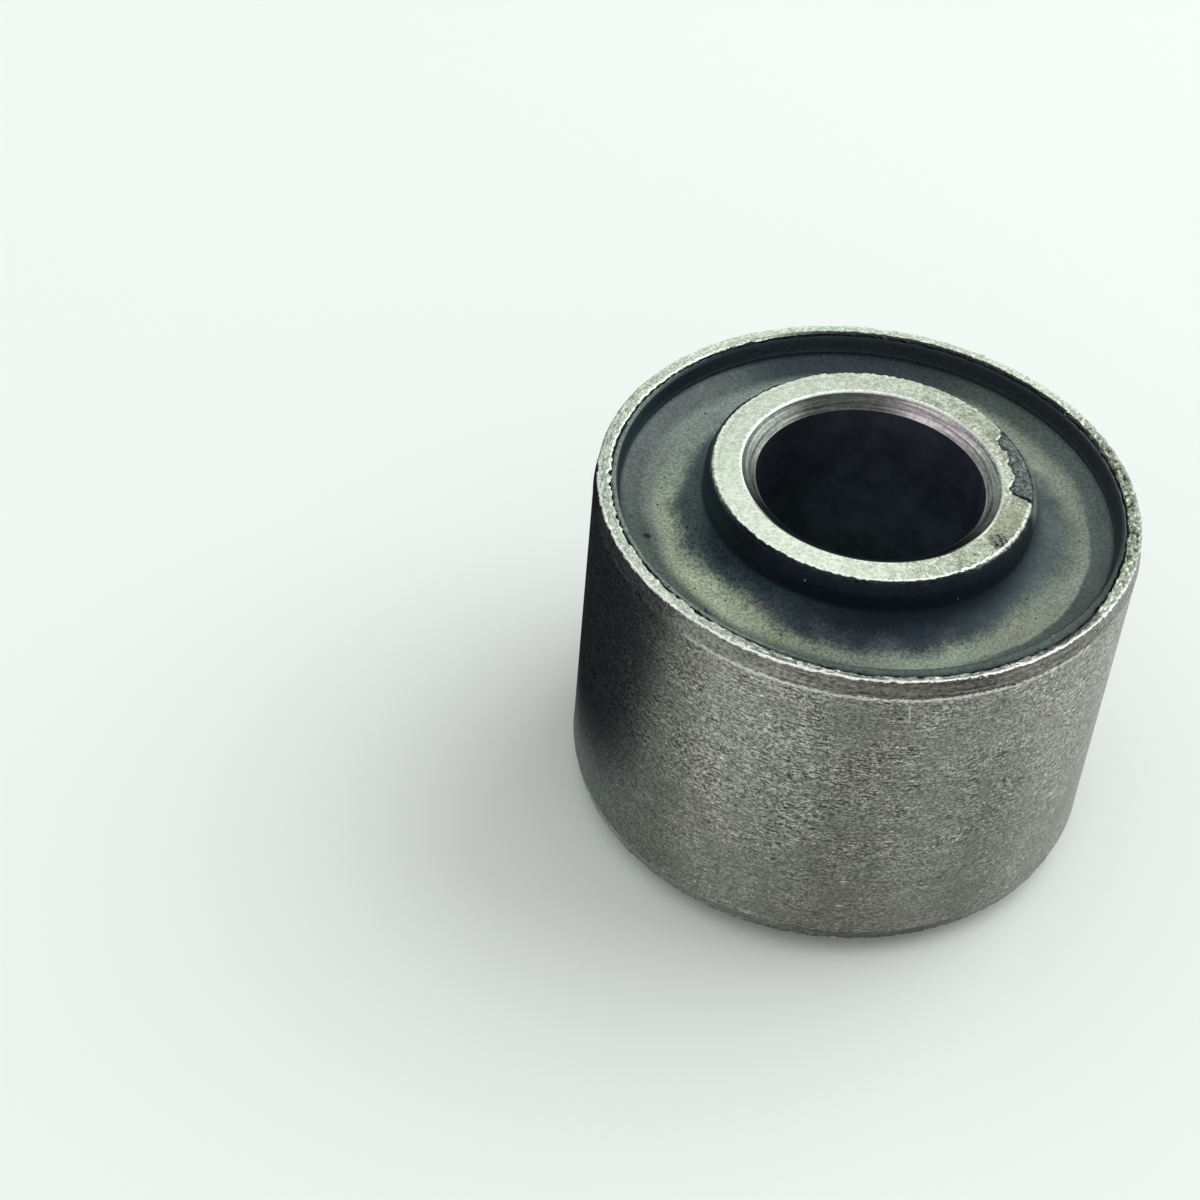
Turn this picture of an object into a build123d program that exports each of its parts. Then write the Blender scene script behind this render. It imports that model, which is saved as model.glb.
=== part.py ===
from build123d import *
from math import isclose
import os

# A bonded rubber bush: a short steel outer sleeve, a longer steel inner sleeve, and one
# ring of rubber moulded between them and bonded to both. Sizes are in millimetres.
# The bush stands on the lower end of its inner sleeve. The origin is the middle of that
# end and +Z runs up the common axis.

os.makedirs("parts", exist_ok=True)

# Outer sleeve, pressed into an eye or a bracket
outer_diameter = 30.0
outer_wall = 0.9
outer_length = 20.0
upper_lead_length = 1.1
lower_lead_length = 0.8
lead_inset = 0.2

# Inner sleeve, clamped between the faces of a bracket by the bolt that runs through it
bore_diameter = 12.5
inner_wall = 2.5
inner_proud = 1.25
mouth_width = 0.875
mouth_depth = 0.7

# Rubber skin up the wall of the outer sleeve, from the fold at the edge of the face
skin_thickness = 0.4
skin_setback = 0.1
skin_draft = 0.2
fold_depth = 1.2
fold_fillet = 0.15

# Rubber collar round each proud end of the inner sleeve
collar_thickness = 0.3
collar_tip_thickness = 0.12
collar_setback = 0.1
collar_bevel_length = 0.6
collar_foot_depth = 0.7
collar_fillet = 0.3

# Hollow of the rubber's face, below the straight line from the collar to the fold
groove_sag = 0.75

# Sizes that follow from those above
outer_radius = outer_diameter / 2
outer_bore_radius = outer_radius - outer_wall
bore_radius = bore_diameter / 2
inner_radius = bore_radius + inner_wall
inner_length = outer_length + 2 * inner_proud

mid_height = inner_length / 2
outer_bottom = mid_height - outer_length / 2
outer_top = mid_height + outer_length / 2

# The two ends of the rubber mirror each other about mid_height, and the heights below
# are measured from there.
rim = outer_length / 2
skin_top = rim - skin_setback
skin_radius = outer_bore_radius - skin_thickness
fold_height = rim - fold_depth
fold_radius = skin_radius - skin_draft
collar_top = inner_length / 2 - collar_setback
collar_radius = inner_radius + collar_thickness
collar_foot = rim - collar_foot_depth
groove_radius = (collar_radius + fold_radius) / 2
groove_floor = (collar_foot + fold_height) / 2 - groove_sag


with BuildPart() as outer_sleeve:
    with BuildSketch(Plane.XZ):
        with BuildLine():
            Polyline(
                (outer_bore_radius, outer_bottom),
                (outer_radius - lead_inset, outer_bottom),
                (outer_radius, outer_bottom + lower_lead_length),
                (outer_radius, outer_top - upper_lead_length),
                (outer_radius - lead_inset, outer_top),
                (outer_bore_radius, outer_top),
                close=True,
            )
        make_face()
    revolve(axis=Axis.Z)
outer_sleeve.part.label = "outer_sleeve"


with BuildPart() as inner_sleeve:
    with BuildSketch(Plane.XY):
        Circle(inner_radius)
        Circle(bore_radius, mode=Mode.SUBTRACT)
    extrude(amount=inner_length)
    # Both mouths of the bore are turned out wider than they are deep.
    for end in (faces().sort_by(Axis.Z)[0], faces().sort_by(Axis.Z)[-1]):
        mouth = end.edges().sort_by(SortBy.RADIUS)[0]
        chamfer(mouth, length=mouth_width, length2=mouth_depth, reference=end)
inner_sleeve.part.label = "inner_sleeve"


def at_height(height):
    """Tell the corners of the rubber's section that lie this far from mid_height."""
    return lambda corner: isclose(abs(corner.Y), height, abs_tol=1e-6)


with BuildPart() as rubber_body:
    mid_plane = Plane(origin=(0, 0, mid_height), x_dir=(1, 0, 0), z_dir=(0, -1, 0))
    with BuildSketch(mid_plane) as section:
        with BuildLine():
            inner_bond = Line((inner_radius, 0), (inner_radius, collar_top))
            tip = Line(inner_bond @ 1, (inner_radius + collar_tip_thickness, collar_top))
            bevel = Line(tip @ 1, (collar_radius, collar_top - collar_bevel_length))
            collar = Line(bevel @ 1, (collar_radius, collar_foot))
            groove = ThreePointArc(
                collar @ 1, (groove_radius, groove_floor), (fold_radius, fold_height)
            )
            wall = Line(groove @ 1, (skin_radius, skin_top))
            lip = Line(wall @ 1, (outer_bore_radius, skin_top))
            Line(lip @ 1, (outer_bore_radius, 0))
            mirror(about=Plane.XZ)
        make_face()
        fillet(section.vertices().filter_by(at_height(collar_foot)), collar_fillet)
        fillet(section.vertices().filter_by(at_height(fold_height)), fold_fillet)
    revolve(axis=Axis.Z)
rubber_body.part.label = "rubber_body"


export_step(outer_sleeve.part, "parts/outer_sleeve.step")
export_step(inner_sleeve.part, "parts/inner_sleeve.step")
export_step(rubber_body.part, "parts/rubber_body.step")
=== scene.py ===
import math
import random
from collections import namedtuple
from functools import partial

import bpy
from mathutils import Matrix, Vector, noise


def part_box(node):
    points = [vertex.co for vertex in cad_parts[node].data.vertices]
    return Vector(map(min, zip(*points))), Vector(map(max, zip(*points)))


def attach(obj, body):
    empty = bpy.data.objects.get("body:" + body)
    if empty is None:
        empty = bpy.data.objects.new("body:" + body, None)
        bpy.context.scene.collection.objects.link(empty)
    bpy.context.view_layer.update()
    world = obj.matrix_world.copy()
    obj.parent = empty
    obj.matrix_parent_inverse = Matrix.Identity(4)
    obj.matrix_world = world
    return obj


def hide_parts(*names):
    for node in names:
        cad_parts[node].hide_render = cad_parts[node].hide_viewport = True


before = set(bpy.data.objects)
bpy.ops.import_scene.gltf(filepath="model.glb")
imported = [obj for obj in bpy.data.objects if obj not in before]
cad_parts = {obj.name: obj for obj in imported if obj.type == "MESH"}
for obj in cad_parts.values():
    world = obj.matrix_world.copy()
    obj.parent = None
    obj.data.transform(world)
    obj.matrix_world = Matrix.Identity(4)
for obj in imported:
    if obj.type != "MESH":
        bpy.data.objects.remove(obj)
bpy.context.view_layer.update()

# A bonded rubber bush: a ground steel outer sleeve, a blasted steel inner sleeve, and the
# ring of black rubber moulded between them. All three are turned from their sections, then
# frayed, dented and scarred as such a part is when it comes out of its mould.
MM = 0.001

# ---------------------------------------------------------------- sizes
_, outer_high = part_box("outer_sleeve")
inner_low, inner_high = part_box("inner_sleeve")
_, rubber_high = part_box("rubber_body")

OUTER_RADIUS = outer_high.x
RIM = outer_high.z
OUTER_BORE = rubber_high.x
INNER_RADIUS = OUTER_RADIUS - 6.25 * MM
INNER_TOP = inner_high.z
MID_HEIGHT = (inner_high.z + inner_low.z) / 2

UPPER_LEAD = 1.1 * MM
LOWER_LEAD = 0.8 * MM
LEAD_INSET = 0.2 * MM
BURR = 0.02 * MM
BORE_RADIUS = 6.25 * MM
MOUTH_RADIUS = 7.125 * MM
MOUTH_DEPTH = 0.7 * MM

COLLAR_RADIUS = 9.05 * MM
COLLAR_TOP = INNER_TOP - 0.1 * MM
COLLAR_BEVEL = 0.6 * MM
COLLAR_FOOT = RIM - 0.7 * MM
FOLD_RADIUS = 13.5 * MM
FOLD_HEIGHT = RIM - 1.2 * MM
GROOVE_SAG = 0.75 * MM
LIP_RADIUS = 13.72 * MM
LIP_HEIGHT = RIM - 0.1 * MM


def polar(angle, radius, height):
    """A point from its angle in degrees, anticlockwise from +X, and its radius and height."""
    turn = math.radians(angle)
    return Vector((radius * math.cos(turn), radius * math.sin(turn), height))


def linked(name, data):
    """A new object in the scene for some data."""
    made = bpy.data.objects.new(name, data)
    bpy.context.scene.collection.objects.link(made)
    return made


# ---------------------------------------------------------------- node helpers
class Value:
    """A node's output. Sums and products of it are new nodes in its own tree."""

    def __init__(self, socket):
        self.socket = socket
        self.tree = socket.id_data

    def __add__(self, other):
        return maths("ADD", self, other)

    def __radd__(self, other):
        return maths("ADD", other, self)

    def __sub__(self, other):
        return maths("SUBTRACT", self, other)

    def __rsub__(self, other):
        return maths("SUBTRACT", other, self)

    def __mul__(self, other):
        return maths("MULTIPLY", self, other)

    def __truediv__(self, other):
        return maths("DIVIDE", self, other)

    def __rtruediv__(self, other):
        return maths("DIVIDE", other, self)

    def __abs__(self):
        return maths("ABSOLUTE", self)


def add(kind, inputs, tree=None, **settings):
    """Add one node, set its options, and link or set its inputs. A linked one tells its tree."""
    for value in inputs.values():
        if isinstance(value, Value):
            tree = value.tree
    made = tree.nodes.new(kind)
    for name, value in settings.items():
        setattr(made, name, value)
    for socket, value in inputs.items():
        if isinstance(value, Value):
            tree.links.new(value.socket, made.inputs[socket])
        else:
            made.inputs[socket].default_value = value
    return made


def output(kind, inputs, which=0, tree=None, **settings):
    """One output of a new node."""
    return Value(add(kind, inputs, tree, **settings).outputs[which])


def maths(operation, *values):
    return output("ShaderNodeMath", dict(enumerate(values)), operation=operation)


def most(first, *others):
    for other in others:
        first = maths("MAXIMUM", first, other)
    return first


def vectors(operation, *values):
    """A vector, or the number that a length, a distance or a dot product gives."""
    number = operation in ("LENGTH", "DISTANCE", "DOT_PRODUCT")
    inputs = dict(enumerate(values))
    return output("ShaderNodeVectorMath", inputs, int(number), operation=operation)


def scaled(colour, *factors):
    """A colour or another vector, made longer or shorter by each factor."""
    for factor in factors:
        inputs = {0: colour, "Scale": factor}
        colour = output("ShaderNodeVectorMath", inputs, operation="SCALE")
    return colour


def span(value, low, high, to_low=0, to_high=1):
    """Carry a value smoothly from one range to another, held at both ends."""
    inputs = {0: value, 1: low, 2: high, 3: to_low, 4: to_high}
    return output("ShaderNodeMapRange", inputs, interpolation_type="SMOOTHSTEP")


def past(length, low, high, to_low=0, to_high=1):
    """The same for a length, with its own range in mm."""
    return span(length, low * MM, high * MM, to_low, to_high)


def vary(mist, low, high, half=0.2):
    """Carry noise to a range. half is how far from a half it reaches that range's ends."""
    return span(mist, 0.5 - half, 0.5 + half, low, high)


def sideways(place):
    """The part of a place that leads away from the axis."""
    return vectors("MULTIPLY", place, (1, 1, 0))


def outwards(place):
    return vectors("NORMALIZE", sideways(place))


def upwards(height):
    return output("ShaderNodeCombineXYZ", {"Z": height})


# ---------------------------------------------------------------- turned pieces
# A corner of a section: its place and the number of steps to the next corner; how far noise
# frays it to and from the axis, lifts it along the axis and pits it inwards; how far it leans
# out on the torn side of its piece; and how far it has each finish of its piece, the worn and
# rubbed edges being partly wear and partly a painted highlight.
LENGTHS = ("fray", "lift", "pit", "lean")
SHARES = ("worn", "rubbed", "blasted", "turned", "bloom")
CORNER_VALUES = LENGTHS + SHARES
Corner = namedtuple("Corner", ("r", "z", "steps") + CORNER_VALUES)

# Where the outer rim is torn, the inner sleeve burred and the outer rim pitted, in degrees
TORN_SIDE = 299
BURRED_SIDE = 88
PITTED_SIDE = 10
PIT_LENGTH = 0.3 * MM
CREASE = math.radians(40)


def corner(r, z, out=0, up=0, steps=1, **values):
    """A corner so many mm out and up from a known place, with its other lengths in mm too."""
    values = dict.fromkeys(CORNER_VALUES, 0) | values
    lengths = {name: values.pop(name) * MM for name in LENGTHS}
    return Corner(r + out * MM, z + up * MM, steps, **lengths, **values)


def turned_over(corners):
    """The same run of corners at the other end, in the order that closes the section."""
    back = corners[::-1]
    steps = [each.steps for each in back[1:]] + [1]
    return [
        each._replace(z=2 * MID_HEIGHT - each.z, steps=count) for each, count in zip(back, steps)
    ]


def section(name, corners):
    """A closed outline in the XZ plane as a mesh of edges, with its values on the points."""
    places = []
    values = {value: [] for value in CORNER_VALUES}
    for here, after in zip(corners, corners[1:] + corners[:1]):
        for step in range(here.steps):
            t = step / here.steps
            places.append((here.r + (after.r - here.r) * t, 0, here.z + (after.z - here.z) * t))
            for value in CORNER_VALUES:
                start, end = getattr(here, value), getattr(after, value)
                values[value].append(start + (end - start) * t)
    area = sum(a[0] * b[2] - b[0] * a[2] for a, b in zip(places, places[1:] + places[:1]))
    way = 1 if area < 0 else -1
    mesh = bpy.data.meshes.new(name)
    count = len(places)
    mesh.from_pydata(places[::way], [(i, (i + 1) % count) for i in range(count)], [])
    for value, numbers in values.items():
        mesh.attributes.new(value, "FLOAT", "POINT").data.foreach_set("value", numbers[::way])
    return linked(name, mesh)


def new_tree(name, **sockets):
    """A new Geometry Nodes tree, and its inputs by name."""
    tree = bpy.data.node_groups.new(name, "GeometryNodeTree")
    for socket, kind in sockets.items():
        tree.interface.new_socket(socket, in_out="INPUT", socket_type="NodeSocket" + kind)
    tree.interface.new_socket("piece", in_out="OUTPUT", socket_type="NodeSocketGeometry")
    given = add("NodeGroupInput", {}, tree).outputs
    return tree, {socket: Value(given[socket]) for socket in sockets}


def end_tree(shape, finish):
    """Make a shape real, give it its finish and hand it out of its tree."""
    whole = output("GeometryNodeRealizeInstances", {"Geometry": shape})
    dressed = output("GeometryNodeSetMaterial", {"Geometry": whole, "Material": finish})
    add("NodeGroupOutput", {"piece": dressed})


def lathe_tree():
    """Geometry Nodes: sweep a section round the Z axis, then fray, lift and pit it."""
    tree, given = new_tree(
        "lathe",
        section="Geometry",
        steps_round="Int",
        fray_length="Float",
        pit_length="Float",
        pitted_side="Vector",
        torn_side="Vector",
        seed="Float",
        finish="Material",
    )

    # The path is a small circle, and the section is moved in by its radius to suit.
    spindle = 1 * MM
    circle = {"Resolution": given["steps_round"], "Radius": spindle}
    path = output("GeometryNodeCurvePrimitiveCircle", circle)
    path = output("GeometryNodeSetCurveNormal", {"Curve": path}, mode="Z_UP")
    outline = output("GeometryNodeMeshToCurve", {"Mesh": given["section"]})
    inward = {"Geometry": outline, "Translation": (-spindle, 0, 0)}
    outline = output("GeometryNodeTransform", inward)
    upright = {"Geometry": outline, "Rotation": (math.radians(90), 0, 0)}
    outline = output("GeometryNodeTransform", upright)
    swept = output("GeometryNodeCurveToMesh", {"Curve": path, "Profile Curve": outline})

    place = output("GeometryNodeInputPosition", {}, tree=tree)
    outward = outwards(place)

    def corner_value(name):
        named = {"Name": name}
        kind = "GeometryNodeInputNamedAttribute"
        return output(kind, named, "Attribute", tree, data_type="FLOAT")

    def wander(length, shift, detail, half):
        """Noise from minus one to one; the smaller half is, the flatter its lobes and gaps."""
        inputs = {
            "Vector": vectors("ADD", place, (shift * MM, shift * MM, shift * MM)),
            "W": given["seed"],
            "Scale": 1 / length,
            "Detail": detail,
        }
        return vary(output("ShaderNodeTexNoise", inputs, noise_dimensions="4D"), -1, 1, half)

    length = given["fray_length"]
    patch = wander(length * 7, 3, 1, 0.2) * 0.35 + 0.65
    lobes = wander(length, 0, 2, 0.07) * 0.55
    waves = wander(length, 5, 3, 0.2) * 0.45
    fray = (lobes + waves) * corner_value("fray") * patch
    lift = wander(length, 7, 3, 0.2) * corner_value("lift")
    torn = vectors("DOT_PRODUCT", outward, given["torn_side"])
    lean = span(torn, 0.66, 0.96) * corner_value("lean")
    pitted = vectors("DOT_PRODUCT", outward, given["pitted_side"])
    pits = span(wander(given["pit_length"], 11, 2, 0.25), 0, 0.8)
    pits = pits * span(pitted, 0.75, 0.96, 0.15, 1) * corner_value("pit")
    sunk = scaled(output("GeometryNodeInputNormal", {}, tree=tree), pits * -1)
    offset = vectors("ADD", scaled(outward, fray + lean), upwards(lift))
    offset = vectors("ADD", offset, sunk)

    moved = output("GeometryNodeSetPosition", {"Geometry": swept, "Offset": offset})
    smooth = output("GeometryNodeSetShadeSmooth", {"Geometry": moved})
    angle = output("GeometryNodeInputMeshEdgeAngle", {}, tree=tree)
    crisp = output("FunctionNodeCompare", {0: angle, 1: CREASE}, operation="GREATER_THAN")
    edges = {"Geometry": smooth, "Selection": crisp, "Shade Smooth": False}
    end_tree(output("GeometryNodeSetShadeSmooth", edges, domain="EDGE"), given["finish"])
    return tree


LATHE = lathe_tree()


def grown(name, tree, source, **settings):
    """What a Geometry Nodes tree makes of a source, as a plain mesh that stands alone."""
    modifier = source.modifiers.new(name, "NODES")
    modifier.node_group = tree
    for item in tree.interface.items_tree:
        if item.name in settings:
            modifier[item.identifier] = settings[item.name]
    ready = source.evaluated_get(bpy.context.evaluated_depsgraph_get())
    mesh = bpy.data.meshes.new_from_object(ready)
    mesh.name = name
    bpy.data.objects.remove(source)
    return linked(name, mesh)


def turned(name, corners, finish, seed, fray, steps=960, side=(0, 0, 0), torn=TORN_SIDE):
    """Sweep a section round the axis into one closed mesh."""
    return grown(
        name,
        LATHE,
        section(name + "_section", corners),
        steps_round=steps,
        fray_length=fray * MM,
        pit_length=PIT_LENGTH,
        pitted_side=side,
        torn_side=polar(torn, 1, 0),
        seed=float(seed),
        finish=finish,
    )


def settle(piece, node):
    """Let a piece ride on the bush and stand for its CAD node."""
    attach(piece, "root")
    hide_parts(node)


# ---------------------------------------------------------------- finishes
def blank(name):
    """A new material with nothing in its tree."""
    made = bpy.data.materials.new(name)
    made.use_nodes = True
    made.node_tree.nodes.clear()
    return made


def new_finish(name):
    """A new material, the place of a point in it, and a way to ask how far round that is."""
    made = blank(name)
    place = output("ShaderNodeTexCoord", {}, "Object", made.node_tree)
    return made, place, partial(facing, place)


def facing(place, angle, low, high, to_low=0, to_high=1):
    """How far a place is on the side of the bush at this angle."""
    share = vectors("DOT_PRODUCT", outwards(place), polar(angle, 1, 0))
    return span(share, low, high, to_low, to_high)


def height_of(place):
    return output("ShaderNodeSeparateXYZ", {0: place}, "Z")


def from_axis(place):
    return vectors("LENGTH", sideways(place))


# The radius in mm at which noise has its stated length round the axis
WRAP_RADIUS = 12


def wrapped(place, around, along):
    """Noise space on a turned surface, stretched by so many mm round it and along its section."""
    ring = scaled(outwards(place), WRAP_RADIUS / around)
    run = (from_axis(place) + height_of(place)) * (1 / (along * MM))
    return vectors("ADD", ring, upwards(run))


def cloud(where, detail, rough, size=None):
    """Soft noise about a half; size is its length in mm if where is a place."""
    scale = 1 if size is None else 1 / (size * MM)
    inputs = {"Vector": where, "Detail": detail, "Roughness": rough, "Scale": scale}
    return output("ShaderNodeTexNoise", inputs)


def specks(where, reach, size=None):
    """One at scattered round specks, nought between them. reach is a share of their spacing."""
    inputs = {"Vector": where, "Scale": 1 if size is None else 1 / (size * MM)}
    cells = add("ShaderNodeTexVoronoi", inputs).outputs
    lot = output("ShaderNodeSeparateColor", {0: Value(cells["Color"])})
    return span(Value(cells["Distance"]) - lot * reach, 0, -0.4 * reach)


def near(place, centre, reach, soft):
    """One round a point, nought beyond a reach in mm."""
    return past(vectors("DISTANCE", place, centre), reach, reach * (1 - soft))


def blend(share, first, second):
    """Go from one colour to another by a share."""
    paints = [paint if isinstance(paint, Value) else (*paint, 1) for paint in (first, second)]
    inputs = {0: share, 6: paints[0], 7: paints[1]}
    return output("ShaderNodeMix", inputs, 2, data_type="RGBA")


def attribute(place, name):
    """A value that the mesh carries on its points."""
    return output("ShaderNodeAttribute", {}, "Fac", place.tree, attribute_name=name)


def ragged(mask, mist, depth):
    """Turn a soft mask into one with a ragged edge, broken up by noise."""
    return span(mask + vary(mist, -depth, depth), 0.42, 0.62)


def scratch(place, angle, low, high, width):
    """A fine wavering scratch along the wall at one angle, between two heights, all in mm."""
    drift = vary(cloud(place, 2, 0.5, 0.9), -0.12 * MM, 0.12 * MM)
    off = vectors("DOT_PRODUCT", place, polar(angle + 90, 1, 0)) + drift
    line = past(abs(off), width, 0.3 * width)
    middle = abs(height_of(place) - (low + high) / 2 * MM)
    reach = past(middle, (high - low) / 2, (high - low) / 2 - 0.3)
    return line * reach * facing(place, angle, 0.95, 0.97)


def bump(height, depth, strength, **over):
    """A relief so many micrometres deep."""
    inputs = {"Height": height, "Distance": depth * 1e-6, "Strength": strength}
    return output("ShaderNodeBump", inputs | over)


def surface(colour, roughness, normal, metallic=0, **fixed):
    """The shader at the end of a finish."""
    inputs = {"Base Color": colour, "Roughness": roughness, "Metallic": metallic, "Normal": normal}
    inputs |= {socket.replace("_", " "): value for socket, value in fixed.items()}
    shader = output("ShaderNodeBsdfPrincipled", inputs)
    add("ShaderNodeOutputMaterial", {"Surface": shader})


def ground_steel():
    """The outer sleeve: ground round the wall, its knocked edges bright, partly a painted
    highlight.
    """
    finish, place, side = new_finish("ground_steel")
    worms = cloud(wrapped(place, 0.18, 0.115), 2, 0.6)
    dashes = cloud(wrapped(place, 0.55, 0.12), 2, 0.6)
    streaks = cloud(wrapped(place, 1.2, 0.1), 3, 0.6)
    flecks = cloud(wrapped(place, 0.26, 0.115), 1, 0.5)
    grit = cloud(place, 2, 0.6, 0.115)
    patch = cloud(place, 3, 0.6, 2.4)
    blot = cloud(place, 2, 0.5, 5)
    pores = specks(wrapped(place, 1.5, 0.9), 0.12)
    nicks = specks(wrapped(place, 1.9, 0.8), 0.13)
    height = height_of(place)

    def grain(low, high):
        return vary(worms, low, high, 0.18)

    # The wall: fine grain, dark dashes of grinding in patches, quieter towards the foot
    busy = span(patch, 0.4, 0.6, 0.15, 1)
    dark = span(dashes, 0.43, 0.34) * busy
    light = span(flecks, 0.63, 0.72) * busy
    tone = grain(0.48, 1.54) * vary(grit, 0.6, 1.42, 0.18) * vary(streaks, 0.72, 1.32)
    tone = tone * (1 - dark * 0.6) + light * 1.1
    calm = past(height, 3, 12, 0.64, 1) * span(patch, 0.36, 0.6, 0.78, 1.18)
    tone = maths("MULTIPLY_ADD", tone - 1, calm, 1)
    # Painted reflection: the wall is painted brighter in narrow upright bands near 249, 256 and
    # 294 degrees and towards the right near 335 degrees; painted shade darkens it towards the
    # foot, and it is darker low down near 311 degrees.
    dim = side(311, 0.985, 1, 0, 0.18) * past(height, 17, 12)
    tone = (
        tone
        * vary(patch, 0.92, 1.08)
        * past(height, 4, 17, 0.94, 1.08)
        * side(256, 0.95, 1, 0.98, 1.3)
        * side(249, 0.972, 0.998, 1, 1.18)
        * side(294, 0.985, 1, 1, 1.2)
        * side(335, 0.78, 0.98, 1, 1.5)
        * (1 - dim)
    )
    wall = blend(span(blot, 0.42, 0.62), (0.181, 0.187, 0.166), (0.187, 0.188, 0.17))
    # A painted reflection: cooler and bluer on the left, the colour of the dark reflection there.
    cold_reflection_tint = blend(side(192, 0.7, 0.95), (1.02, 1, 1), (0.92, 1, 1.08))
    wall = vectors("MULTIPLY", scaled(wall, tone), cold_reflection_tint)

    # The lead-in: darker and browner, smeared round by the tool where it faces the front; painted
    # highlights brighten it near 212, 248 and 335 degrees
    rings = cloud(wrapped(place, 3, 0.085), 3, 0.6)
    smear = side(295, 0.55, 0.95, 0.25, 1)
    lines = (
        (1 + vary(rings, -0.5, 0.6) * smear)
        * grain(0.55, 1.45)
        * side(248, 0.86, 1, 1, 1.7)
        * side(335, 0.8, 1, 1, 1.7)
        * side(212, 0.95, 1, 1, 2.2)
    )
    band = scaled(blend(smear, (0.165, 0.168, 0.152), (0.116, 0.113, 0.104)), lines)

    # The flat of the rim: blasted and whole behind, smeared into broken flakes in front
    cells = vectors("ADD", wrapped(place, 0.5, 0.2), scaled((0.9, 0.9, 0.9), worms - 0.5))
    cells = {"Vector": cells, "Scale": 1}
    lot = output("ShaderNodeTexVoronoi", cells, "Color")
    lot = output("ShaderNodeSeparateColor", {0: lot})
    crack = output("ShaderNodeTexVoronoi", cells, "Distance", feature="DISTANCE_TO_EDGE")
    crack = span(crack, 0.1, 0)
    mould = cloud(place, 3, 0.6, 0.7)
    broken = scaled((0.6, 0.65, 0.58), span(lot, 0, 1, 0.45, 1.25), grain(0.6, 1.3))
    broken = blend(crack, broken, (0.05, 0.055, 0.05))
    whole = (0.72, 0.84, 0.69)
    whole = scaled(whole, grain(0.68, 1.22), vary(grit, 0.75, 1.2, 0.18), vary(mould, 0.84, 1.12))
    whole = blend(crack * 0.22, whole, (0.16, 0.17, 0.14))
    pitted = side(12, 0.8, 0.97)
    flat = blend(most(side(292, 0.45, 0.85), pitted * 0.6), whole, broken)
    flat = vectors("MULTIPLY", flat, blend(pitted, (1, 1, 1), (0.97, 1, 0.92)))
    flat = scaled(flat, 1 - pitted * 0.27)
    caves = span(cloud(place, 2, 0.5, 0.45), 0.56, 0.62) * pitted * 0.9
    flat = blend(caves, flat, (0.035, 0.045, 0.032))

    # Behind, mostly on the right, the inner margin is painted dark, a painted reflection of its
    # rounded edge; near the front right a band closer to the outer edge is darker too
    radius = from_axis(place)
    dark_reflection_margin = ragged(past(radius, 14.37, 14.25), flecks, 0.4) * side(72, 0.45, 0.85)
    wiped = ragged(past(radius, 14.68, 14.56), flecks, 0.4) * side(321, 0.97, 0.995) * 0.75
    flat = blend(most(dark_reflection_margin, wiped), flat, (0.04, 0.045, 0.044))

    # The knocked edges: a ragged bright line, partly wear and partly a painted highlight,
    # strongest at the front
    bright = scaled((0.92, 0.96, 0.9), vary(worms, 0.72, 1.12))
    worn = ragged(attribute(place, "worn"), flecks, 0.45) * side(262, -0.05, 0.55, 0.3, 1)
    rubbed = attribute(place, "rubbed") + flecks + vary(grit, -0.14, 0.14)
    rubbed = (
        span(rubbed, 1.13, 1.38)
        * span(worms, 0.34, 0.56, 0.55, 1)
        * side(285, 0.62, 0.84, 0.05, 0.8)
        * side(247, 0.92, 0.995, 1, 1.28)
    )
    scar = scratch(place, 285.2, 18.3, 20.1, 0.07) * span(worms, 0.3, 0.5) * 0.8
    colour = blend(ragged(attribute(place, "turned"), worms, 0.3), wall, band)
    colour = blend(ragged(attribute(place, "blasted"), flecks, 0.25), colour, flat)
    colour = blend(rubbed, colour, (0.7, 0.7, 0.655))
    colour = blend(worn, colour, bright)
    colour = blend(nicks * 0.65, colour, (0.62, 0.64, 0.58))
    colour = blend(scar, colour, (0.5, 0.53, 0.48))
    colour = blend(pores * 0.85, colour, (0.025, 0.028, 0.026))

    normal = bump(worms - dark * 0.8 - pores, 14, 0.8)
    surface(colour, vary(grit, 0.48, 0.36), normal, 0.97 - worn * 0.6)
    return finish


# The split between the broken edge and the bared scale, as angle and radius in mm
SPLIT_PLACES = (
    (2.7, 7.68),
    (2.2, 7.86),
    (1.7, 8.05),
    (1.4, 8.20),
    (1.1, 8.35),
    (0.7, 8.50),
    (-0.1, 8.62),
    (-1.3, 8.70),
    (37.2, 8.72),
    (37.9, 8.66),
    (38.6, 8.60),
)
SCALE_DEPTH = 0.07 * MM

# Waves in a metre of the fine lines that brushing left on the end face, along X, Y and Z
BRUSHED_WAVES = (1500, 5200, 1500)


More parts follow.
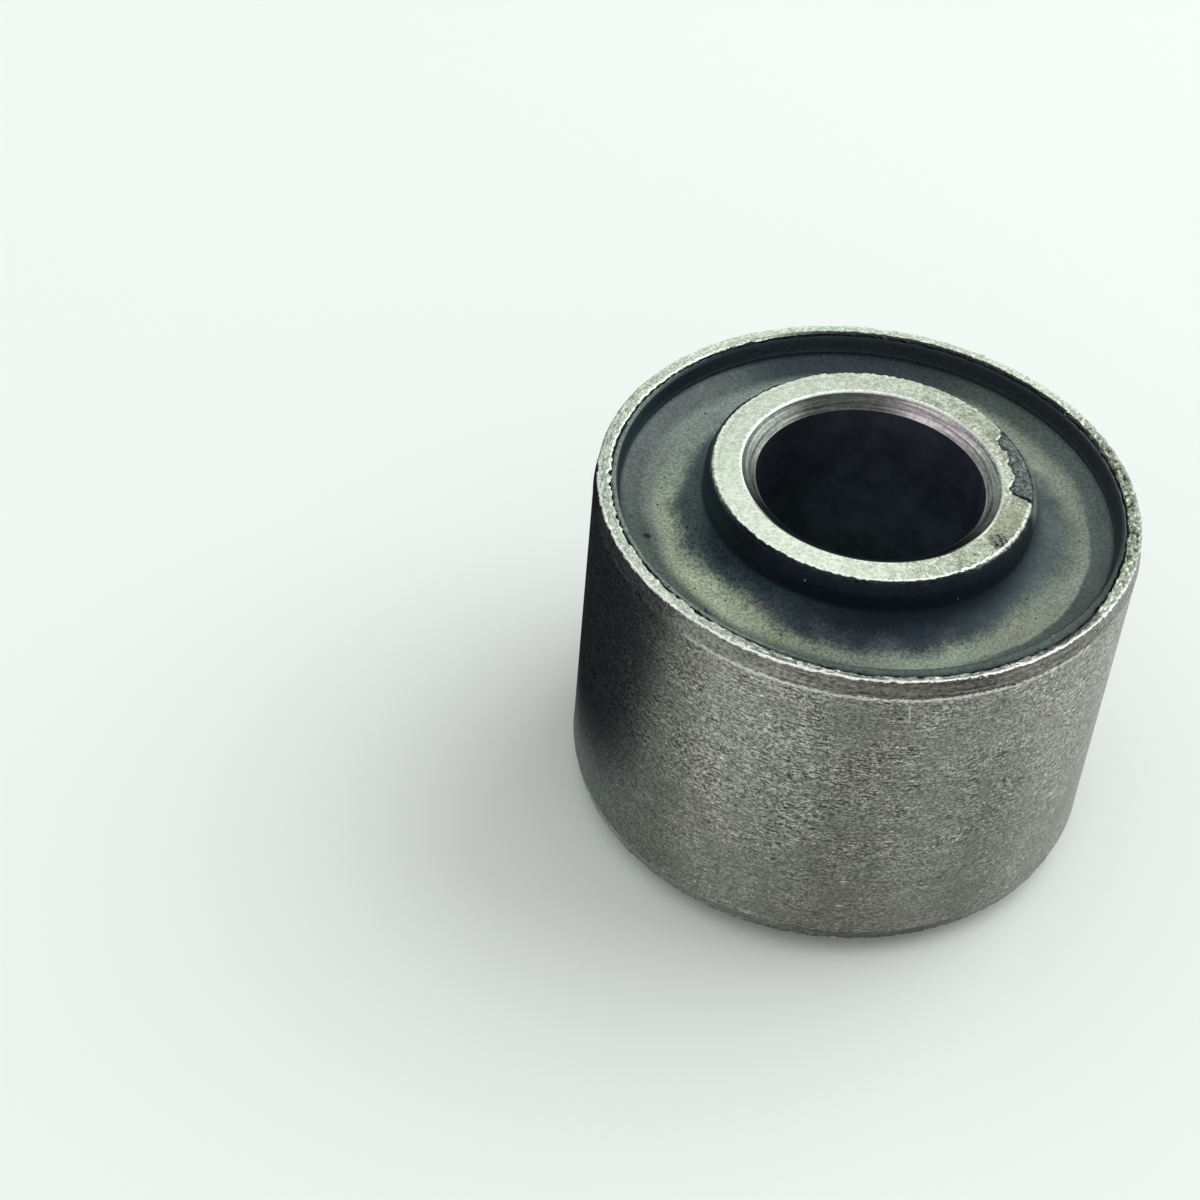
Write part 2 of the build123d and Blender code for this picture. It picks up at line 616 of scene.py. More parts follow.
def blasted_steel():
    """The inner sleeve: blasted ends, a turned mouth and a bore left black with scale."""
    finish, place, side = new_finish("blasted_steel")
    grit = cloud(place, 2, 0.6, 0.14)
    mottle = cloud(place, 3, 0.6, 1.6)
    fine = cloud(place, 3, 0.65, 0.34)
    brushed = cloud(vectors("MULTIPLY", place, BRUSHED_WAVES), 2, 0.5)
    pores = specks(place, 0.14, 0.6)
    radius = from_axis(place)
    height = abs(height_of(place) - MID_HEIGHT)

    # The end face: pale at the front and left, darker to the right, partly dirt and partly painted
    # shade
    across = vectors("DOT_PRODUCT", place, polar(8, 1, 0)) + vary(mottle, -2 * MM, 2 * MM)
    dirty_and_shaded = past(across, -4, 9)
    polished = side(12, 0.75, 0.95) * past(radius, 7.7, 7.4) * 0.75
    flat = blend(dirty_and_shaded, (0.82, 0.93, 0.77), (0.38, 0.43, 0.33))
    flat = blend(polished, flat, (0.66, 0.7, 0.58))
    clean = vary(grit, 0.8, 1.14) * vary(fine, 0.86, 1.1) * vary(brushed, 0.94, 1.06)
    dirty = vary(grit, 0.62, 1.36) * vary(fine, 0.6, 1.34)
    flat = scaled(flat, side(140, 0.3, 0.9, 1, 0.86), blend(dirty_and_shaded, clean, dirty))
    arc_line = past(abs(radius - 8.3 * MM), 0.06, 0.01) * side(150, 0.55, 0.8) * 0.45
    flat = blend(arc_line, flat, (0.42, 0.46, 0.4))
    stained = near(place, polar(344, 8 * MM, INNER_TOP), 1.9, 0.7)
    flat = blend(stained * 0.8, flat, scaled((0.33, 0.36, 0.255), vary(grit, 0.62, 1.38)))
    flat = blend(stained * span(fine, 0.6, 0.68) * 0.75, flat, (0.1, 0.085, 0.045))
    dirt = pores * span(dirty_and_shaded, 0.1, 0.7, 0.25, 1)
    flat = blend(dirt, flat, (0.05, 0.052, 0.04))
    torn = near(place, polar(332, 8.15 * MM, INNER_TOP), 0.8, 0.5)
    flat = blend(torn * 0.72, flat, (0.15, 0.17, 0.145))
    torn *= span(abs(cloud(place, 2, 0.6, 0.42) - 0.47), 0.075, 0.035)
    flat = blend(torn * 0.95, flat, (0.015, 0.018, 0.016))

    # The dark scale where the face is broken away on the right
    scale = ragged(attribute(place, "scale"), grit, 0.25)
    crust = scaled((0.114, 0.142, 0.131), vary(grit, 0.35, 1.6), vary(fine, 0.45, 1.5))
    flat = blend(scale, flat, crust)
    split = attribute(place, "crack")
    for angle, reach in SPLIT_PLACES:
        spot = polar(angle, reach * MM, INNER_TOP - SCALE_DEPTH)
        split = most(split, near(place, spot, 0.15, 0.6))
    flat = blend(ragged(split, grit, 0.35), flat, (0.01, 0.012, 0.012))

    # The mouth: brushed by the tool, with a step near the face; painted shade darkens it behind,
    # on the right and at the back left, and all but blacks it out at the front
    rings = cloud(wrapped(place, 6, 0.17), 3, 0.6)
    chatter = cloud(wrapped(place, 0.5, 0.4), 4, 0.7)
    sheen = blend(side(66, 0.76, 0.97), (0.35, 0.385, 0.345), (0.56, 0.515, 0.535))
    tone = (
        vary(rings, 0.45, 1.55)
        * vary(chatter, 0.75, 1.25)
        * side(109, 0.8, 0.975, 1, 0.22)
        * side(2, 0.9, 0.985, 1, 0.76)
        * side(156, 0.6, 0.97, 1, 0.58)
        * side(270, -0.2, 0.62, 1, 0.05)
    )
    bore = blend(past(height, 8, 3), (0.034, 0.042, 0.056), (0.068, 0.1, 0.122))
    # Painted shade: the bore is darker on its left side.
    bore = scaled(bore, side(175, 0.2, 0.9, 1, 0.36), vary(mottle, 0.75, 1.3))
    bore = blend(specks(place, 0.09, 0.8) * 0.6, bore, (0.1, 0.12, 0.12))
    in_bore = span(radius, BORE_RADIUS + 0.06 * MM, BORE_RADIUS + 0.02 * MM)
    colour = blend(attribute(place, "turned"), flat, scaled(sheen, tone))
    colour = blend(in_bore, colour, bore)

    # Its knocked edges, partly wear and partly a painted highlight that is kept off the outer edge
    # behind; on the right the inner one is a narrow line
    hidden = (1 - side(240, -0.8, 0.3, 0.3, 1)) * past(radius, 7.9, 8)
    inwards = radius + side(22, 0.65, 0.9, 0, 0.1) * MM
    past_line = past(inwards, 7.22, 7.28) * past(inwards, 7.8, 7.7) * side(18, 0.6, 0.85)
    worn = (
        ragged(attribute(place, "worn"), grit, 0.4)
        * (1 - hidden)
        * past(inwards, 7.04, 7.1)
        * (1 - past_line)
        * (1 - scale)
        * 0.9
    )
    colour = blend(worn, colour, scaled((0.9, 0.98, 0.89), vary(grit, 0.76, 1.1)))

    # On the front side the mouth's edge turns away and is painted near black as shade, and the
    # outer edge is painted dark as shade
    turned_away_shade = side(270, 0.45, 0.8) * past(radius, 7.26, 7.2)
    colour = blend(turned_away_shade, colour, (0.006, 0.009, 0.012))
    front_edge_shade = ragged(past(height, 11.24, 11.2), fine, 0.3) * past(radius, 8.2, 8.3)
    colour = blend(front_edge_shade * side(268, 0.3, 0.8), colour, (0.03, 0.034, 0.032))

    metal = span(radius, BORE_RADIUS + 0.02 * MM, BORE_RADIUS + 0.1 * MM, 0.1, 0.9)
    metal = most(metal - scale * 0.6 - worn * 0.6, 0)
    relief = grit + fine * 0.8 - (torn + dirt)
    normal = bump(relief, 14, 0.7, Normal=bump(relief * scale, 60, 0.9))
    tint = (0.5, 0.52, 0.55, 1)
    surface(colour, vary(grit, 0.5, 0.38), normal, metal, Specular_Tint=tint)
    return finish


# The cuts in the rubber's face at the front left, as angle and radius in mm
CUT_PLACES = ((233.6, 12.30), (234.2, 12.38), (234.8, 12.46), (235.3, 12.55))


def moulded_rubber():
    """The rubber: nearly black, with a pale bloom that has dried in a ring in each hollow,
    brightened as a painted highlight, and painted shade beside the collar.
    """
    finish, place, side = new_finish("moulded_rubber")
    drift = cloud(place, 1, 0.5, 4)
    blotch = cloud(place, 4, 0.6, 1.8)
    grain = cloud(place, 2, 0.6, 0.17)
    smoke = cloud(wrapped(place, 3, 1), 4, 0.6)
    flecks = specks(place, 0.15, 0.62)
    elsewhere = vectors("ADD", place, (0.01, 0.02, 0.03))
    dust = specks(elsewhere, 0.08, 1.3)

    # Distance from the axis, unsettled by noise at several sizes
    radius = from_axis(place)
    across = radius
    for mist, shift in ((drift, 0.15), (blotch, 0.16), (grain, 0.07)):
        across += vary(mist, -shift * MM, shift * MM)

    # Beside the collar, painted shade and reflection: nearly black in front and behind, greener on
    # the left, and a little further out a painted violet reflection at the front
    right = side(15, 0.45, 1)
    front = side(282, 0.62, 1)
    collar_shade = blend(right, (0.024, 0.042, 0.048), (0.03, 0.044, 0.044))
    collar_shade = blend(side(180, 0.82, 1), collar_shade, (0.085, 0.125, 0.122))
    collar_shade = blend(side(296, 0.62, 1), collar_shade, (0.003, 0.006, 0.011))
    shaded = blend(right, (0.068, 0.108, 0.098), (0.072, 0.096, 0.088))
    shaded = blend(front, shaded, (0.018, 0.027, 0.033))
    violet_reflection = side(262, 0.5, 0.9) * span(smoke, 0.38, 0.62)
    shaded = blend(violet_reflection, shaded, (0.062, 0.066, 0.078))
    inner = blend(past(across, 9.3, 10.3), collar_shade, shaded)

    # The ring of bloom, a real pale film brightened as a painted highlight: yellowest at the front
    # left, greyer and wider on the right, and painted darker at the front and front right
    ring = blend(right, (0.345, 0.42, 0.312), (0.288, 0.34, 0.262))
    ring = blend(side(142, 0.7, 0.97), ring, (0.265, 0.335, 0.292))
    ring = blend(side(226, 0.7, 0.95), ring, (0.385, 0.455, 0.318))
    warm = near(place, polar(322, 10.9 * MM, FOLD_HEIGHT - 0.5 * MM), 3.4, 0.9)
    ring = blend(warm * 0.8, ring, (0.365, 0.39, 0.29))
    washed = side(190, 0.84, 0.985) * past(across, 11.15, 11.85)
    ring = blend(washed, ring, (0.232, 0.27, 0.24))
    ring = scaled(
        ring,
        side(318, 0.93, 1, 1, 0.8),
        side(264, 0.9, 0.995, 1, 0.6),
        side(232, 0.6, 1, 0.88, 1.05),
    )
    rise = (
        9.82 * MM
        + front * (0.4 * MM)
        + side(274, 0.86, 1) * (0.25 * MM)
        + side(170, 0.93, 1, 0, -0.35 * MM)
        + side(203, 0.96, 1, 0, 0.25 * MM)
        + side(2, 0.9, 0.99) * (0.45 * MM)
    )
    inside = (across - rise) / side(0, 0.7, 0.98, 1.15 * MM, 2.15 * MM)
    film_and_painted_light = blend(span(inside, 0, 1), inner, ring)

    # Outside it: a tide line, soft nearly all round and crisp on the right, then a teal grey,
    # painted darker behind as shade and brighter at the front as painted light
    crisp = side(342, 0.72, 0.97)
    tide = side(232, 0.62, 0.95, 12.34 * MM, 11.92 * MM) + side(112, 0.55, 0.9, 0, -0.28 * MM)
    slow = radius + vary(drift, -0.1 * MM, 0.1 * MM) + vary(blotch, -0.05 * MM, 0.05 * MM)
    beyond = (slow - tide) / span(crisp, 0, 1, 0.85 * MM, 0.2 * MM)
    outer = blend(side(105, 0.72, 0.97), (0.092, 0.12, 0.1), (0.038, 0.05, 0.054))
    outer = blend(side(16, 0.76, 0.95), outer, (0.116, 0.152, 0.136))
    outer = blend(side(158, 0.78, 0.98), outer, (0.122, 0.146, 0.132))
    outer = scaled(
        outer,
        side(192, 0.93, 1, 1, 0.9),
        side(296, 0.95, 1, 1, 1.25),
        side(342, 0.95, 1, 1, 0.85),
    )
    film_and_painted_light = blend(span(beyond + 0.5, 0, 1), film_and_painted_light, outer)

    # The top of the lip: pale on the left, bare behind
    lip = past(radius, 13.66, 13.72)
    top = blend(side(205, 0.4, 0.85), (0.08, 0.108, 0.086), (0.195, 0.235, 0.205))
    film_and_painted_light = blend(lip, film_and_painted_light, scaled(top, side(5, 0.7, 0.95, 1, 0.62)))
    mottled = 1 + vary(grain, -1, 1) * side(225, 0.2, 0.9, 0.25, 0.32)
    tone = mottled * vary(blotch, 0.9, 1.1) * vary(smoke, 0.92, 1.08)

    # The bare rubber: the skin on the sleeve's wall is dusty, and its torn edge is pale
    bare = scaled((0.004, 0.007, 0.01), vary(grain, 0.6, 1.5))
    bare = blend(side(188, 0.75, 0.97), bare, (0.01, 0.022, 0.026))
    skin = past(radius, 13.2, 13.35) * past(radius, 13.76, 13.7) * side(55, -0.3, 0.6)
    bare = blend(skin, bare, scaled((0.021, 0.027, 0.03), vary(grain, 0.75, 1.3)))
    past_lip = past(radius, 13.92, 13.97)
    bare = blend(past_lip * side(18, 0.86, 0.97), bare, scaled((0.11, 0.12, 0.11), tone))
    bare = blend(past_lip * side(168, 0.78, 0.95), bare, scaled((0.21, 0.24, 0.22), tone))
    shown = 1 - lip * side(72, 0, 0.5)
    bloom = attribute(place, "bloom") * span(grain, 0.25, 0.6, 0.85, 1) * shown
    colour = blend(bloom, bare, scaled(film_and_painted_light, tone))

    # Beside the bared scale the collar is dusty; dents, cuts and dust lie over all
    dusty = (
        side(20, 0.86, 0.94)
        * past(radius, 9.25, 9.1)
        * span(height_of(place), RIM, RIM + 0.4 * MM)
    )
    colour = blend(dusty, colour, scaled((0.125, 0.155, 0.142), tone))
    pit = near(place, polar(203.8, 12.34 * MM, FOLD_HEIGHT - 0.45 * MM), 0.3, 0.5)
    nick = near(place, polar(320.6, 9.5 * MM, COLLAR_FOOT - 0.33 * MM), 0.2, 0.5)
    marks = most(pit, nick, flecks)
    for angle, reach in CUT_PLACES:
        cut = polar(angle, reach * MM, FOLD_HEIGHT - 0.45 * MM)
        marks = most(marks, near(place, cut, 0.11, 0.5))
    colour = blend(marks, colour, (0.01, 0.012, 0.014))
    colour = blend(dust * 0.55, colour, (0.4, 0.42, 0.39))
    surface(
        colour,
        vary(grain, 0.46, 0.6),
        bump(grain - marks, 12, 0.6),
        Specular_IOR_Level=0.25,
        Specular_Tint=(0.55, 0.8, 1, 1),
    )
    return finish


def bright_steel():
    """The slivers: clean steel, torn a moment ago."""
    finish, place, _ = new_finish("bright_steel")
    grit = cloud(place, 2, 0.6, 0.1)
    colour = scaled((0.8, 0.84, 0.78), vary(grit, 0.6, 1.15))
    surface(colour, 0.45, bump(grit, 6, 0.6), 0.85)
    return finish


# ---------------------------------------------------------------- pieces
def arc(first, lowest, last, count):
    """Points between three on the circle through them, in (r, z)."""
    (ax, ay), (bx, by), (cx, cy) = first, lowest, last
    d = 2 * (ax * (by - cy) + bx * (cy - ay) + cx * (ay - by))
    a2, b2, c2 = ax * ax + ay * ay, bx * bx + by * by, cx * cx + cy * cy
    x = (a2 * (by - cy) + b2 * (cy - ay) + c2 * (ay - by)) / d
    y = (a2 * (cx - bx) + b2 * (ax - cx) + c2 * (bx - ax)) / d
    radius = math.hypot(ax - x, ay - y)
    start, end = math.atan2(ay - y, ax - x), math.atan2(cy - y, cx - x)
    turns = [start + (end - start) * i / count for i in range(1, count)]
    return [(x + radius * math.cos(t), y + radius * math.sin(t)) for t in turns]


def build_outer_sleeve():
    """A thin tube with a lead-in at each end, its rim torn and pushed out at the front."""
    wall = OUTER_RADIUS - BURR
    edge = OUTER_RADIUS - LEAD_INSET

    # How bright an end's edges are is partly wear and partly a painted highlight.
    def end(lead, knocked_and_glint):
        foot = RIM - lead
        grooves = []
        for groove in range(5):
            share = 0.16 + 0.12 * groove
            out, rise = wall - LEAD_INSET * share, foot + lead * share
            grooves += [corner(out, rise, turned=1), corner(out, rise, -0.01, 0.05, turned=1)]
        shown = {"worn": knocked_and_glint, "blasted": 1}
        return [
            corner(wall, MID_HEIGHT, steps=8),
            corner(wall, foot, 0, -0.5),
            corner(wall, foot, 0, -0.24),
            corner(wall, foot, 0.008, -0.13, lift=0.03, rubbed=0.85 * knocked_and_glint),
            corner(wall, foot, 0.016, lift=0.05, rubbed=knocked_and_glint),
            corner(wall, foot, 0, 0.08, lift=0.02, rubbed=0.7 * knocked_and_glint, turned=0.6),
            *grooves,
            corner(edge, RIM, 0.05, -0.28, turned=1),
            corner(edge, RIM, 0.035, -0.16, lift=0.03, turned=1),
            corner(edge, RIM, 0.04, -0.07, fray=0.04, lift=0.04, lean=-0.02, turned=1),
            corner(
                edge, RIM, 0.02, -0.03,
                fray=0.05, lift=0.03, lean=-0.02, worn=0.6 * knocked_and_glint, blasted=0.6,
            ),
            corner(edge, RIM, -0.03, fray=0.04, pit=0.03, lean=-0.01, **shown),
            corner(edge, RIM, -0.09, fray=0.02, pit=0.06, **shown),
            corner(edge, RIM, -0.16, steps=3, pit=0.12, lean=0.05, worn=0.1 * knocked_and_glint, blasted=1),
            corner(edge, RIM, -0.3, steps=3, fray=0.04, pit=0.16, lean=0.12, blasted=1),
            corner(OUTER_BORE, RIM, 0.1, -0.01, 2, fray=0.11, pit=0.12, lean=0.27, blasted=1),
            corner(OUTER_BORE, RIM, 0.03, -0.05, 2, fray=0.12, lean=0.29, blasted=0.8),
            corner(OUTER_BORE, RIM, 0.02, -0.18, fray=0.07, lean=0.22),
            corner(OUTER_BORE, RIM, 0, -0.32, 3),
        ]

    corners = end(UPPER_LEAD, 1) + turned_over(end(LOWER_LEAD, 0.5)[1:])
    side = polar(PITTED_SIDE, 1, 0)
    finish = ground_steel()
    tube = turned("outer_sleeve_wall", corners, finish, seed=3, fray=0.5, steps=1080, side=side)
    settle(tube, "outer_sleeve")


# Where the scale shows on the end face: its ragged inner border, as angle and radius in mm
SCALE_BORDER = (
    (-4.0, 8.80),
    (-1.8, 8.56),
    (-0.5, 8.48),
    (0.5, 8.10),
    (1.5, 7.62),
    (4.5, 7.54),
    (9.5, 7.57),
    (13.5, 7.78),
    (22.0, 7.77),
    (29.0, 8.02),
    (33.8, 7.74),
    (36.6, 8.12),
    (41.0, 8.60),
    (43.0, 8.85),
)


def held(value, low, high):
    return min(max(value, low), high)


def break_away(piece):
    """Sink the upper end face where its skin has broken away and mark the bared scale."""
    points = piece.data.vertices
    scale = [0.0] * len(points)
    cracks = [0.0] * len(points)
    for vertex in points:
        place = vertex.co
        radius = math.hypot(place.x, place.y) / MM
        angle = (math.degrees(math.atan2(place.y, place.x)) + 180) % 360 - 180
        on_face = place.z >= INNER_TOP - 0.13 * MM and radius >= 7.4
        if not on_face or not SCALE_BORDER[0][0] < angle < SCALE_BORDER[-1][0]:
            continue
        for (a0, r0), (a1, r1) in zip(SCALE_BORDER, SCALE_BORDER[1:]):
            if a0 <= angle <= a1:
                border = r0 + (r1 - r0) * (angle - a0) / (a1 - a0)
                slant = (r1 - r0) / (math.radians(a1 - a0) * radius)
        for reach, size in ((0.2, 0.5), (0.14, 0.22)):
            border += reach * noise.noise(place / (size * MM))
        beyond = (radius - border) / math.hypot(1, slant)
        share = held(beyond / 0.06, 0, 1)
        rough = 0.8 + 0.45 * noise.noise(place / (0.25 * MM))
        gape = held((14 - angle) / 8, 0.5, 1)
        crack = held(1.4 - abs(beyond - 0.07) / 0.07, 0, 1) * gape
        vertex.co.z -= SCALE_DEPTH * (share * rough + 1.4 * crack)
        scale[vertex.index] = share
        cracks[vertex.index] = crack
    for name, numbers in (("scale", scale), ("crack", cracks)):
        made = piece.data.attributes.new(name, "FLOAT", "POINT")
        made.data.foreach_set("value", numbers)


def build_inner_sleeve():
    """A thick tube with both mouths turned out and a burr on the outer edge of each end."""
    foot = INNER_TOP - MOUTH_DEPTH

    def end(rings):
        return [
            corner(BORE_RADIUS, MID_HEIGHT, steps=3),
            corner(BORE_RADIUS, foot, 0, -0.1),
            corner(BORE_RADIUS, foot, 0.02, 0.02, turned=1),
            corner(BORE_RADIUS, foot, 0.09, 0.05, 2, turned=1),
            corner(BORE_RADIUS, INNER_TOP, 0.36, -0.46, turned=1),
            corner(BORE_RADIUS, INNER_TOP, 0.38, -0.41, turned=1),
            corner(BORE_RADIUS, INNER_TOP, 0.44, -0.39, 3, turned=1),
            corner(MOUTH_RADIUS, INNER_TOP, -0.13, -0.21, turned=1),
            corner(MOUTH_RADIUS, INNER_TOP, -0.09, -0.12, worn=0.9, turned=1),
            corner(MOUTH_RADIUS, INNER_TOP, -0.02, -0.02, worn=1, turned=0.4),
            corner(MOUTH_RADIUS, INNER_TOP, 0.03, worn=1),
            corner(MOUTH_RADIUS, INNER_TOP, 0.09, worn=0.8),
            corner(MOUTH_RADIUS, INNER_TOP, 0.16, steps=rings),
            corner(INNER_RADIUS, INNER_TOP, -0.36),
            corner(INNER_RADIUS, INNER_TOP, -0.28, fray=0.02, lean=0.06, worn=0.2),
            corner(INNER_RADIUS, INNER_TOP, -0.2, fray=0.06, lean=0.11, worn=0.95),
            corner(
                INNER_RADIUS, INNER_TOP, -0.12, -0.02,
                fray=0.07, lift=0.03, lean=0.14, worn=0.95,
            ),
            corner(
                INNER_RADIUS, INNER_TOP, -0.07, -0.09,
                fray=0.05, lift=0.04, lean=0.13, worn=0.4,
            ),
            corner(INNER_RADIUS, INNER_TOP, 0, -0.2, fray=0.02, lift=0.02, lean=0.05),
            corner(INNER_RADIUS, INNER_TOP, 0, -0.34),
        ]

    corners = end(22) + turned_over(end(8)[1:])
    finish = blasted_steel()
    tube = turned("inner_sleeve_tube", corners, finish, seed=5, fray=0.24, torn=BURRED_SIDE)
    break_away(tube)
    settle(tube, "inner_sleeve")


def build_rubber():
    """A ring with a hollow face, a collar round the inner sleeve and a skin up the outer one."""
    first = (COLLAR_RADIUS, COLLAR_FOOT)
    lowest = ((COLLAR_RADIUS + FOLD_RADIUS) / 2, (COLLAR_FOOT + FOLD_HEIGHT) / 2 - GROOVE_SAG)
    last = (FOLD_RADIUS, FOLD_HEIGHT)
    hollow = [corner(r, z, bloom=1) for r, z in arc(first, lowest, last, 26)]
    bevel_foot = COLLAR_TOP - COLLAR_BEVEL
    end = [
        corner(INNER_RADIUS, MID_HEIGHT, steps=2),
        corner(INNER_RADIUS, COLLAR_TOP, 0, -0.14),
        corner(INNER_RADIUS, COLLAR_TOP, 0.01, -0.06, lift=0.05),
        corner(INNER_RADIUS, COLLAR_TOP, 0.08, -0.05, fray=0.02, lift=0.05),
        corner(INNER_RADIUS, COLLAR_TOP, 0.12, -0.1, 3, fray=0.02, lift=0.03),
        corner(COLLAR_RADIUS, bevel_foot, -0.02, 0.03),
        corner(COLLAR_RADIUS, bevel_foot, 0, -0.03, 6),
        corner(COLLAR_RADIUS, COLLAR_FOOT, 0, 0.26),
        corner(COLLAR_RADIUS, COLLAR_FOOT, 0.03, 0.14, bloom=0.3),
        corner(COLLAR_RADIUS, COLLAR_FOOT, 0.1, 0.02, bloom=0.8),
        *hollow[1:],
        corner(FOLD_RADIUS, FOLD_HEIGHT, bloom=0.7),
        corner(FOLD_RADIUS, FOLD_HEIGHT, 0.05, 0.1, bloom=0.1),
        corner(FOLD_RADIUS, FOLD_HEIGHT, 0.06, 0.24),
        corner(FOLD_RADIUS, FOLD_HEIGHT, 0.035, 0.28, bloom=0.25),
        corner(FOLD_RADIUS, FOLD_HEIGHT, 0.07, 0.33),
        corner(FOLD_RADIUS, FOLD_HEIGHT, 0.11, 0.42, 4),
        corner(LIP_RADIUS, LIP_HEIGHT, -0.02, -0.14),
        corner(LIP_RADIUS, LIP_HEIGHT, 0.01, -0.05),
        corner(LIP_RADIUS, LIP_HEIGHT, 0.05, -0.01, bloom=0.1),
        corner(LIP_RADIUS, LIP_HEIGHT, 0.1, steps=2, bloom=0.9),
        corner(OUTER_BORE, LIP_HEIGHT, -0.16, fray=0.03, lift=0.02, lean=0.08, bloom=0.9),
        corner(OUTER_BORE, LIP_HEIGHT, -0.11, -0.01, fray=0.06, lift=0.02, lean=0.24, bloom=0.5),
        corner(OUTER_BORE, LIP_HEIGHT, -0.07, -0.06, fray=0.07, lift=0.02, lean=0.26),
        corner(OUTER_BORE, LIP_HEIGHT, -0.03, -0.18, fray=0.04, lean=0.2),
        corner(OUTER_BORE, LIP_HEIGHT, 0, -0.28, 2),
    ]
    corners = end + turned_over(end[1:])
    ring = turned("rubber_ring", corners, moulded_rubber(), seed=9, fray=0.5, steps=720)
    settle(ring, "rubber_body")


def sliver_tree():
    """Geometry Nodes: a short curled sliver of steel at each point, turned and sized at random."""
    tree, given = new_tree(
        "slivers",
        roots="Geometry",
        length="Float",
        seed="Int",
        finish="Material",
    )
    length = given["length"]
    bend = {"Resolution": 7, "Radius": length * 0.5, "Sweep Angle": 2.4}
    curl = output("GeometryNodeCurveArc", bend)
    along = output("GeometryNodeSplineParameter", {}, "Factor", tree)
    taper = span(abs(along - 0.4), 0.6, 0, 0.25, 1)
    curl = output("GeometryNodeSetCurveRadius", {"Curve": curl, "Radius": taper})
    round_one = {"Resolution": 6, "Radius": length * 0.17}
    outline = output("GeometryNodeCurvePrimitiveCircle", round_one)
    sweep = {"Curve": curl, "Profile Curve": outline, "Fill Caps": True}
    sliver = output("GeometryNodeCurveToMesh", sweep)
    sliver = output("GeometryNodeSetShadeSmooth", {"Geometry": sliver})
    angles = {0: (0, 0, 0), 1: (6.28, 6.28, 6.28), "Seed": given["seed"]}
    turn = output("FunctionNodeRandomValue", angles, data_type="FLOAT_VECTOR")
    sizes = {2: 0.45, 3: 1.15, "Seed": given["seed"]}
    size = output("FunctionNodeRandomValue", sizes, 1, data_type="FLOAT")
    cloned = {"Points": given["roots"], "Instance": sliver, "Rotation": turn, "Scale": size}
    end_tree(output("GeometryNodeInstanceOnPoints", cloned), given["finish"])
    return tree


# Where slivers hang in clusters: the middle and spread in degrees, and how many
SLIVER_CLUSTERS = ((220, 2.6, 15), (233, 1.2, 6), (238, 2.0, 13), (252, 1.0, 6), (302, 2.5, 5))
STRAY_SLIVERS = 16


def build_slivers():
    """The curls of steel left hanging on the outer edge of the rim."""
    chance = random.Random(41)
    angles = []
    for middle, spread, count in SLIVER_CLUSTERS:
        angles += [chance.gauss(middle, spread) for _ in range(count)]
    angles += [chance.uniform(0, 360) for _ in range(STRAY_SLIVERS)]
    roots = []
    for angle in angles:
        sink = chance.uniform(0.02, 0.1)
        roots.append(polar(angle, OUTER_RADIUS - (0.2 + 0.3 * sink) * MM, RIM - sink * MM))
    mesh = bpy.data.meshes.new("sliver_roots")
    mesh.from_pydata(roots, [], [])
    source = linked("sliver_roots", mesh)
    settings = {"length": 0.15 * MM, "seed": 7, "finish": bright_steel()}
    slivers = grown("rim_slivers", sliver_tree(), source, **settings)
    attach(slivers, "root")


build_outer_sleeve()
build_inner_sleeve()
build_rubber()
build_slivers()


# ---------------------------------------------------------------- floor, light, camera
CAMERA_PLACE = Vector((0, -108.9, 111.3)) * MM
CAMERA_AIM = Vector((-12.56, -12.38, 21.25)) * MM
CAMERA_ROLL = math.radians(5.11)
NEAREST = 0.005
# The lens and the width of the film, in mm
LENS = 77.47
FILM = 36

FLOOR_HALF = 1.5
CARD_X = -17 * MM
# The corners of the card along Y and Z, in mm
CARD_OUTLINE = ((-11.9, 0.2), (16, 0.2), (16, 34), (-19.5, 34))

SKY_LEVEL = 0.733
SKY_BEHIND_CAMERA = 0.8
# How far from straight behind the camera the sky begins to brighten, and is brightest
SKY_CONE = (math.radians(42), math.radians(14))
LAMP_PLACE = Vector((0.82, 0.58, 0.97))
LAMP_WIDTH = 1.5
LAMP_POWER = 10.9


def sheet(name, corners, finish, kind, inputs):
    """A flat sheet for the set, with a plain finish."""
    made = blank(finish)
    shader = output(kind, inputs, tree=made.node_tree)
    add("ShaderNodeOutputMaterial", {"Surface": shader})
    mesh = bpy.data.meshes.new(name)
    mesh.from_pydata(corners, [], [(0, 1, 2, 3)])
    mesh.materials.append(made)
    return linked(name, mesh)


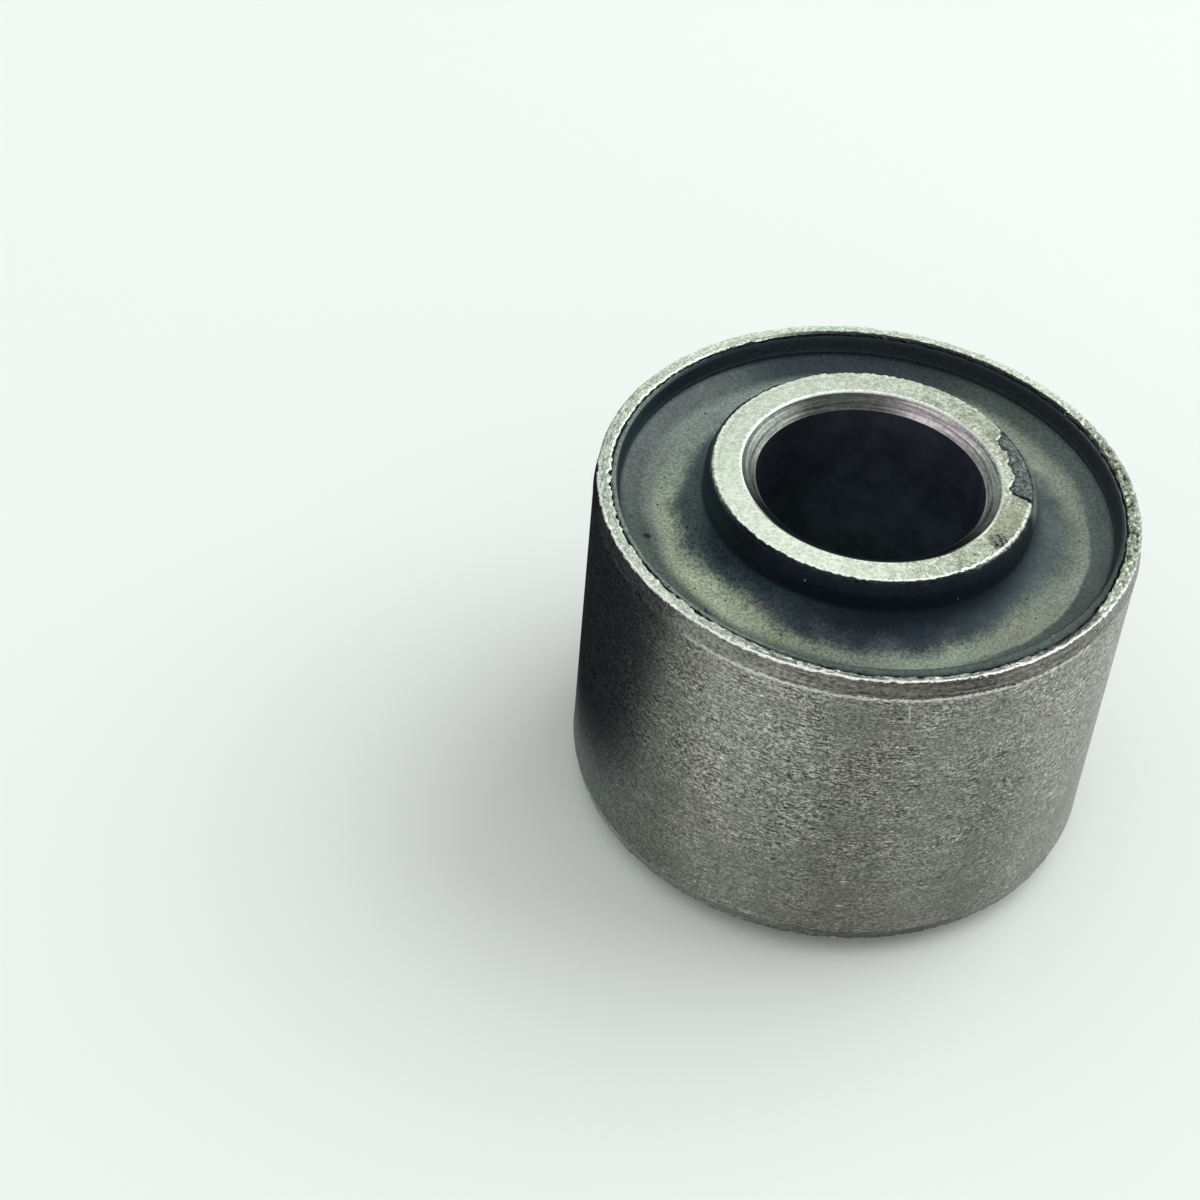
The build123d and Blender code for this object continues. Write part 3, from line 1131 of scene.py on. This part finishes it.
def build_floor():
    outline = ((-1, -1), (1, -1), (1, 1), (-1, 1))
    corners = [(x * FLOOR_HALF, y * FLOOR_HALF, 0) for x, y in outline]
    matt = {"Base Color": (0.858, 0.906, 0.867, 1), "Roughness": 0.9, "Specular IOR Level": 0.3}
    floor = sheet("floor", corners, "pale_floor", "ShaderNodeBsdfPrincipled", matt)


def build_light():
    """An even sky, a little brighter behind the camera, and one wide soft lamp overhead."""
    world = bpy.data.worlds.new("soft_sky")
    bpy.context.scene.world = world
    world.use_nodes = True
    world.node_tree.nodes.clear()
    way = output("ShaderNodeTexCoord", {}, "Generated", world.node_tree)
    share = vectors("DOT_PRODUCT", way, (CAMERA_PLACE - CAMERA_AIM).normalized())
    wide, narrow = (math.cos(angle) for angle in SKY_CONE)
    level = span(share, wide, narrow, SKY_LEVEL, SKY_BEHIND_CAMERA)
    sky = output("ShaderNodeBackground", {"Color": (1, 1, 1, 1), "Strength": level})
    add("ShaderNodeOutputWorld", {"Surface": sky})
    lamp = bpy.data.lights.new("overhead", "AREA")
    lamp.shape = "DISK"
    lamp.size = LAMP_WIDTH
    lamp.energy = LAMP_POWER
    made = linked("overhead", lamp)
    made.location = LAMP_PLACE
    made.rotation_euler = (-LAMP_PLACE).to_track_quat("-Z", "Y").to_euler()


def build_card():
    """A black card close beside the bush that only its gloss sees."""
    corners = [(CARD_X, y * MM, z * MM) for y, z in CARD_OUTLINE]
    black = {"Color": (0.005, 0.022, 0.048, 1)}
    card = sheet("black_card", corners, "black_card", "ShaderNodeBsdfDiffuse", black)
    card.visible_camera = False
    card.visible_diffuse = False
    card.visible_shadow = False
    card.visible_transmission = False


def build_camera():
    data = bpy.data.cameras.new("camera")
    data.lens = LENS
    data.sensor_width = FILM
    data.sensor_fit = "HORIZONTAL"
    data.clip_start = NEAREST
    camera = linked("camera", data)
    turn = (CAMERA_AIM - CAMERA_PLACE).to_track_quat("-Z", "Y").to_matrix().to_4x4()
    roll = Matrix.Rotation(CAMERA_ROLL, 4, "Z")
    camera.matrix_world = Matrix.Translation(CAMERA_PLACE) @ turn @ roll
    bpy.context.scene.camera = camera


build_floor()
build_light()
build_card()
build_camera()
bpy.context.scene.view_settings.view_transform = "Standard"
